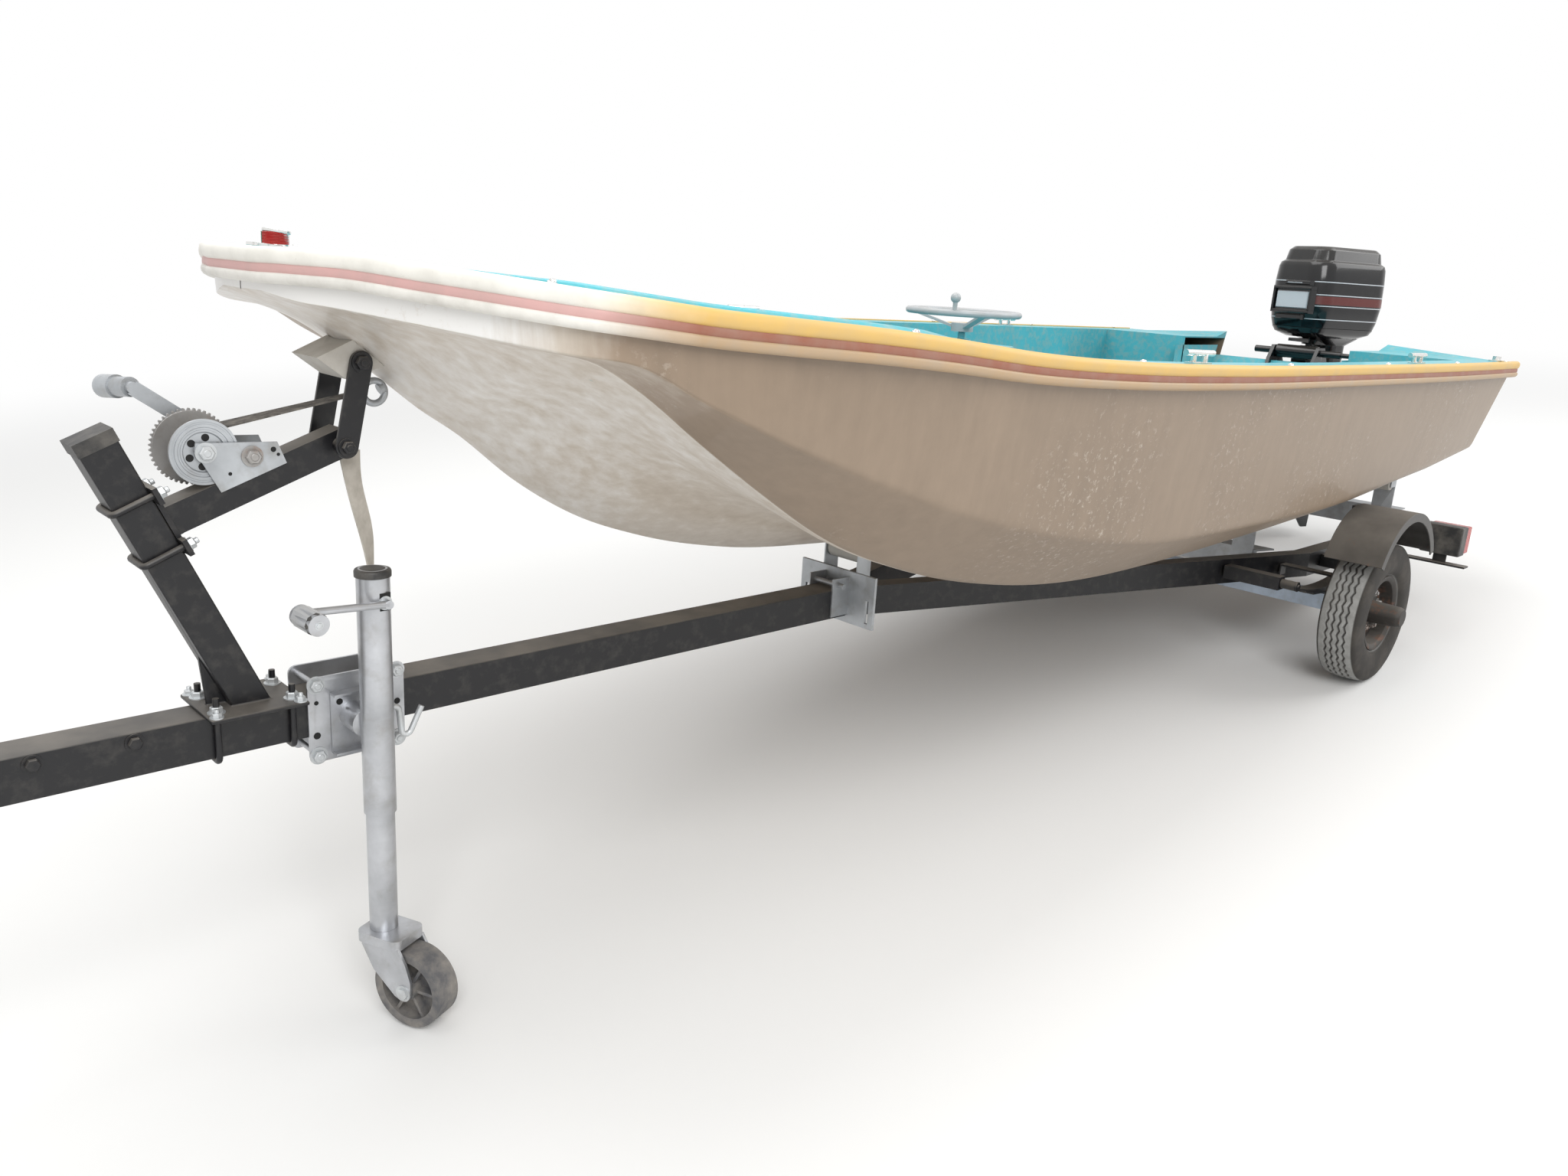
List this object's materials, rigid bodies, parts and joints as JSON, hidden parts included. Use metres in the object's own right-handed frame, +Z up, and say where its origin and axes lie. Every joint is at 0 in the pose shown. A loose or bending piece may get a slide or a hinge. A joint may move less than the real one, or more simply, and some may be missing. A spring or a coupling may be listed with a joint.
{
  "type": "speedboat",
  "caption": "Small open runabout with an outboard motor, strapped on a single-axle trailer that stands on its tyres and jack wheel.",
  "frame": {"origin": "on the ground under the middle of the length and width, with the tyres and the jack wheel standing on z = 0", "axes": "+X forward to the hitch, +Y to port, +Z up; the trailer parks nose up, so the tongue and the deck lie a few degrees off X"},
  "size_m": [5.2522, 1.806, 1.4335],
  "materials": {
    "hull": "weathered white gelcoat, dusty",
    "deck_liner": "faded turquoise gelcoat",
    "rub_rail": "sun-faded vinyl with an insert stripe",
    "thwarts": "faded turquoise gelcoat",
    "helm_console": "faded turquoise gelcoat",
    "steering_wheel": "black grained plastic",
    "bow_light": "pitted chrome with a red lens",
    "deck_fittings": "pitted chrome",
    "bow_eye": "weathered steel",
    "clamp_bracket": "black enamel",
    "swivel_bracket": "black enamel",
    "motor_leg": "black enamel",
    "gearcase": "black enamel",
    "propeller": "black enamel, worn edges",
    "cowl": "dusty black gloss",
    "tongue": "black paint, dusty",
    "coupler": "black paint, worn",
    "frame_rails": "black paint, dusty",
    "cross_bracket": "galvanised",
    "crossmembers": "galvanised",
    "hull_rollers": "dusty rubber",
    "roller_brackets": "galvanised",
    "axle": "galvanised",
    "leaf_springs": "dark, rust-tinged",
    "spring_hangers": "black paint",
    "fenders": "black paint under dust",
    "side_brackets": "black paint",
    "tail_lights": "black plastic",
    "tail_lenses": "red lens",
    "winch_post": "black paint",
    "winch_arm": "black paint",
    "winch_frame": "zinc plated",
    "winch_drum": "zinc plated, rusty hub",
    "winch_crank": "zinc plated, grey grip",
    "bow_stop": "black paint",
    "stop_block": "pale worn rubber",
    "winch_strap": "dark webbing",
    "jack_plate": "galvanised",
    "jack_tube": "galvanised",
    "jack_crank": "galvanised, grey grip",
    "caster_fork": "galvanised",
    "caster_wheel": "grey-brown moulded wheel",
    "tyre_port": "dusty rubber",
    "tyre_starboard": "dusty rubber",
    "rim_port": "rusty painted steel",
    "rim_starboard": "rusty painted steel"
  },
  "bodies": {
    "boat_on_trailer": {"hull": "hull", "deck_liner": "deck_liner", "rub_rail": "rub_rail", "thwarts": "thwarts", "helm_console": "helm_console", "bow_light": "bow_light", "deck_fittings": "deck_fittings", "bow_eye": "bow_eye", "clamp_bracket": "clamp_bracket", "tongue": "tongue", "coupler": "coupler", "frame_rails": "frame_rails", "cross_bracket": "cross_bracket", "crossmembers": "crossmembers", "hull_rollers": "hull_rollers", "roller_brackets": "roller_brackets", "axle": "axle", "leaf_springs": "leaf_springs", "spring_hangers": "spring_hangers", "fenders": "fenders", "side_brackets": "side_brackets", "tail_lights": "tail_lights", "tail_lenses": "tail_lenses", "winch_post": "winch_post", "winch_arm": "winch_arm", "winch_frame": "winch_frame", "winch_drum": "winch_drum", "winch_crank": "winch_crank", "bow_stop": "bow_stop", "stop_block": "stop_block", "winch_strap": "winch_strap", "jack_plate": "jack_plate"},
    "road_wheel_port": {"tyre_port": "tyre_port", "rim_port": "rim_port"},
    "road_wheel_starboard": {"tyre_starboard": "tyre_starboard", "rim_starboard": "rim_starboard"},
    "jack": {"jack_tube": "jack_tube", "jack_crank": "jack_crank"},
    "caster_fork": {"caster_fork": "caster_fork"},
    "caster_wheel": {"caster_wheel": "caster_wheel"},
    "motor_swivel": {"swivel_bracket": "swivel_bracket"},
    "motor_head": {"motor_leg": "motor_leg", "gearcase": "gearcase", "cowl": "cowl"},
    "propeller": {"propeller": "propeller"},
    "helm_wheel": {"steering_wheel": "steering_wheel"}
  },
  "joints": [
    {"name": "port_wheel_spin", "type": "hinge", "parent": "boat_on_trailer", "child": "road_wheel_port", "pos_m": [-1.10023, 0.785, 0.215], "axis": [0, 1, 0], "continuous": true},
    {"name": "starboard_wheel_spin", "type": "hinge", "parent": "boat_on_trailer", "child": "road_wheel_starboard", "pos_m": [-1.10023, -0.785, 0.215], "axis": [0, 1, 0], "continuous": true},
    {"name": "jack_swing", "type": "hinge", "parent": "boat_on_trailer", "child": "jack", "pos_m": [1.70282, 0.07, 0.58794], "axis": [0, -1, 0], "range_deg": [-90, 0]},
    {"name": "caster_swivel", "type": "hinge", "parent": "jack", "child": "caster_fork", "pos_m": [1.7323, 0.112, 0.18173], "axis": [0.1091, 0, -0.994], "continuous": true},
    {"name": "caster_spin", "type": "hinge", "parent": "caster_fork", "child": "caster_wheel", "pos_m": [1.71507, 0.1792, 0.07723], "axis": [0.915, 0.3907, 0.1004], "continuous": true},
    {"name": "motor_tilt", "type": "hinge", "parent": "boat_on_trailer", "child": "motor_swivel", "pos_m": [-2.23567, 0, 0.78959], "axis": [0, 1, 0], "range_deg": [0, 60]},
    {"name": "motor_steer", "type": "hinge", "parent": "motor_swivel", "child": "motor_head", "pos_m": [-2.33905, 0, 0.77825], "axis": [-0.1091, 0, 0.994], "range_deg": [-16, 54]},
    {"name": "propeller_spin", "type": "hinge", "parent": "motor_head", "child": "propeller", "pos_m": [-2.48864, 0.07358, 0.18238], "axis": [0.9399, -0.3256, 0.1031], "continuous": true},
    {"name": "helm_turn", "type": "hinge", "parent": "boat_on_trailer", "child": "helm_wheel", "pos_m": [-0.48422, -0.3, 1.03709], "axis": [-0.1091, 0, 0.994], "range_deg": [-655, 200]}
  ],
  "couplings": [
    {"joint": "helm_turn", "follows": "motor_steer", "ratio": -12}
  ]
}
